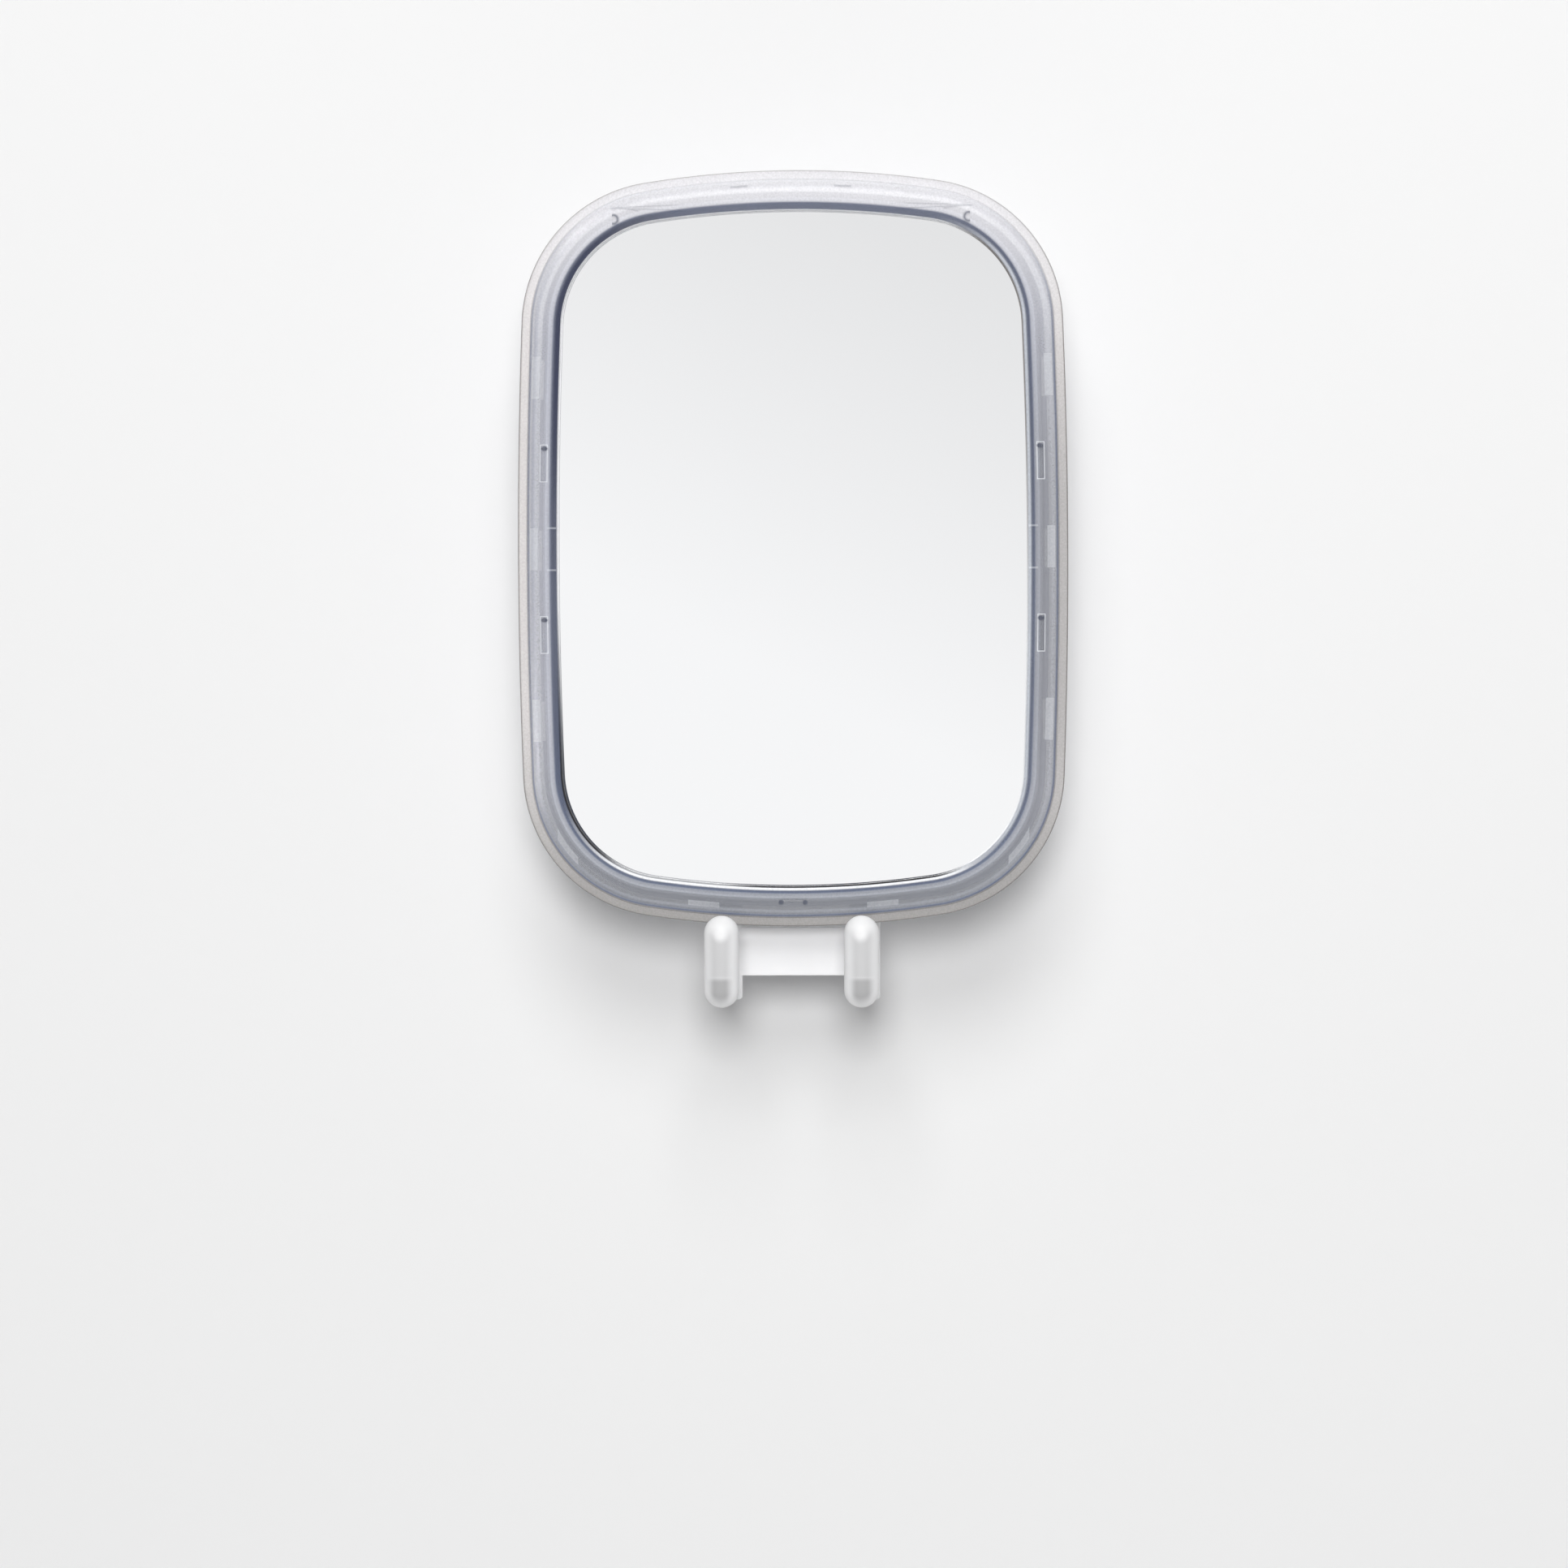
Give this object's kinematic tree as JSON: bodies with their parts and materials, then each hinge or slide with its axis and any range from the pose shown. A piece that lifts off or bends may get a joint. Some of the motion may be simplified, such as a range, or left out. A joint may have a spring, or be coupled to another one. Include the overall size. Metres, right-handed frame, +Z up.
{
  "type": "fogless shower mirror",
  "caption": "Upright rounded shower mirror with a see-through frame over a water tank, two soft razor hooks below and a locking suction mount behind.",
  "frame": {"origin": "centre of the suction cup's wall side, on the wall plane", "axes": "+Z up along the wall, +X to the right as the user faces the mirror, +Y into the wall; the mirror faces -Y"},
  "size_m": [0.165, 0.073, 0.2502],
  "materials": {
    "clear_plastic": "moulded see-through plastic with a faint blue-grey cloud, polished",
    "mirror_glass": "silvered flat pane with a ground edge",
    "dark_rubber": "matt moulded seal",
    "white_plastic": "white moulded plastic, satin",
    "soft_sleeve": "milky soft rubber, slightly see-through",
    "clear_rubber": "clear flexible rubber, glossy",
    "steel": "plain bright stainless steel"
  },
  "bodies": {
    "mount": {"mount_housing": "white_plastic", "hook_plate": "white_plastic", "suction_cup": "clear_rubber", "lever_pin": "steel", "plate_screw_1": "steel", "plate_screw_2": "steel", "plate_screw_3": "steel", "plate_screw_4": "steel"},
    "post": {"cup_post": "white_plastic", "post_pin": "steel"},
    "lever": {"lever": "white_plastic"},
    "mirror": {"front_frame": "clear_plastic", "mirror_pane": "mirror_glass", "pane_seal": "dark_rubber", "tank_gasket": "dark_rubber", "back_shell": "clear_plastic", "hanger_socket": "white_plastic", "socket_screw_1": "steel", "socket_screw_2": "steel", "socket_screw_3": "steel", "socket_screw_4": "steel", "razor_holder": "white_plastic", "hook_sleeve_left": "soft_sleeve", "hook_sleeve_right": "soft_sleeve", "holder_screw_left": "steel", "holder_screw_right": "steel"}
  },
  "joints": [
    {"name": "lever_hinge", "type": "hinge", "parent": "mount", "child": "lever", "pos_m": [0, -0.0116, 0.012], "axis": [1, 0, 0], "range_deg": [0, 12]},
    {"name": "post_slide", "type": "slide", "parent": "mount", "child": "post", "axis": [0, 1, 0], "range_m": [0, 0.0026], "deforming": ["suction_cup"]},
    {"name": "mirror_lift", "type": "slide", "parent": "mount", "child": "mirror", "axis": [0, 0, 1], "range_m": [0, 0.03]}
  ],
  "couplings": [
    {"joint": "post_slide", "follows": "lever_hinge", "m_per_rad": 0.012}
  ]
}
